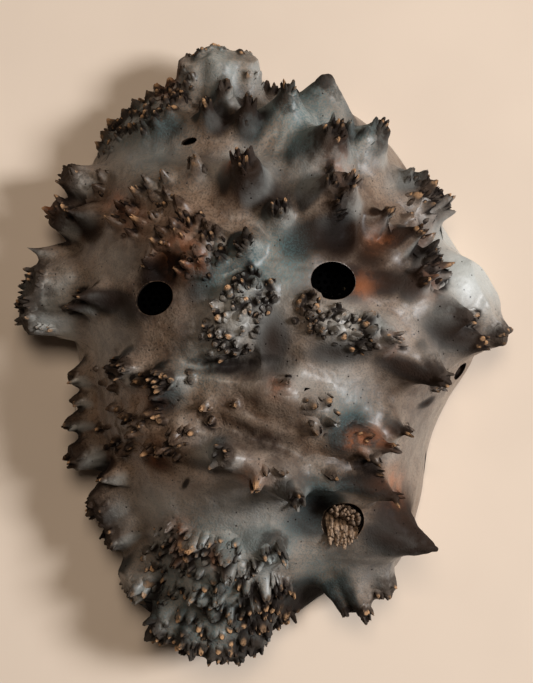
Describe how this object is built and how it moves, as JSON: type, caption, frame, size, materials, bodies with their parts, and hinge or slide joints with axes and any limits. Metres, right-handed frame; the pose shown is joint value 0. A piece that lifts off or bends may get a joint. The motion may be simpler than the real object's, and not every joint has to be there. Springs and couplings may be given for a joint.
{
  "type": "rain maker in a tree burl",
  "caption": "Hollowed spiked tree burl closed by a wooden back, with screened sound holes and loose seeds that patter past rows of pins when it is tipped.",
  "frame": {"origin": "on the flat back, under the middle of the burl's face", "axes": "+X to the right and +Y to the crest as seen from the front, +Z out of the face, back on Z = 0"},
  "size_m": [0.2728, 0.3408, 0.1118],
  "materials": {
    "burl_wood": "weathered, waxed, grey-brown with blue-grey and rust patches",
    "dead_wood": "dry fibrous broken wood",
    "slab_wood": "planed and oiled",
    "screw_brass": "dull brass",
    "screen_black": "matt black perforated sheet",
    "pin_cane": "bare cane",
    "dried_seed": "dry seed coat"
  },
  "bodies": {
    "burl": {"burl_shell": "burl_wood", "dead_knot": "dead_wood", "back_slab": "slab_wood", "back_screws": "screw_brass", "left_screen": "screen_black", "right_screen": "screen_black", "pin_row_1": "pin_cane", "pin_row_2": "pin_cane", "pin_row_3": "pin_cane", "pin_row_4": "pin_cane", "pin_row_5": "pin_cane", "pin_row_6": "pin_cane", "pin_row_7": "pin_cane", "pin_row_8": "pin_cane"},
    "lane_1": {"seeds_1": "dried_seed"},
    "lane_2": {"seeds_2": "dried_seed"},
    "lane_3": {"seeds_3": "dried_seed"},
    "lane_4": {"seeds_4": "dried_seed"},
    "lane_5": {"seeds_5": "dried_seed"},
    "lane_6": {"seeds_6": "dried_seed"},
    "lane_7": {"seeds_7": "dried_seed"}
  },
  "joints": [
    {"name": "lane_1_run", "type": "slide", "parent": "burl", "child": "lane_1", "axis": [0, 1, 0], "range_m": [-0.08, 0.08]},
    {"name": "lane_2_run", "type": "slide", "parent": "burl", "child": "lane_2", "axis": [0, 1, 0], "range_m": [-0.08, 0.08]},
    {"name": "lane_3_run", "type": "slide", "parent": "burl", "child": "lane_3", "axis": [0, 1, 0], "range_m": [-0.08, 0.08]},
    {"name": "lane_4_run", "type": "slide", "parent": "burl", "child": "lane_4", "axis": [0, 1, 0], "range_m": [-0.08, 0.08]},
    {"name": "lane_5_run", "type": "slide", "parent": "burl", "child": "lane_5", "axis": [0, 1, 0], "range_m": [-0.08, 0.08]},
    {"name": "lane_6_run", "type": "slide", "parent": "burl", "child": "lane_6", "axis": [0, 1, 0], "range_m": [-0.08, 0.08]},
    {"name": "lane_7_run", "type": "slide", "parent": "burl", "child": "lane_7", "axis": [0, 1, 0], "range_m": [-0.08, 0.08]}
  ]
}
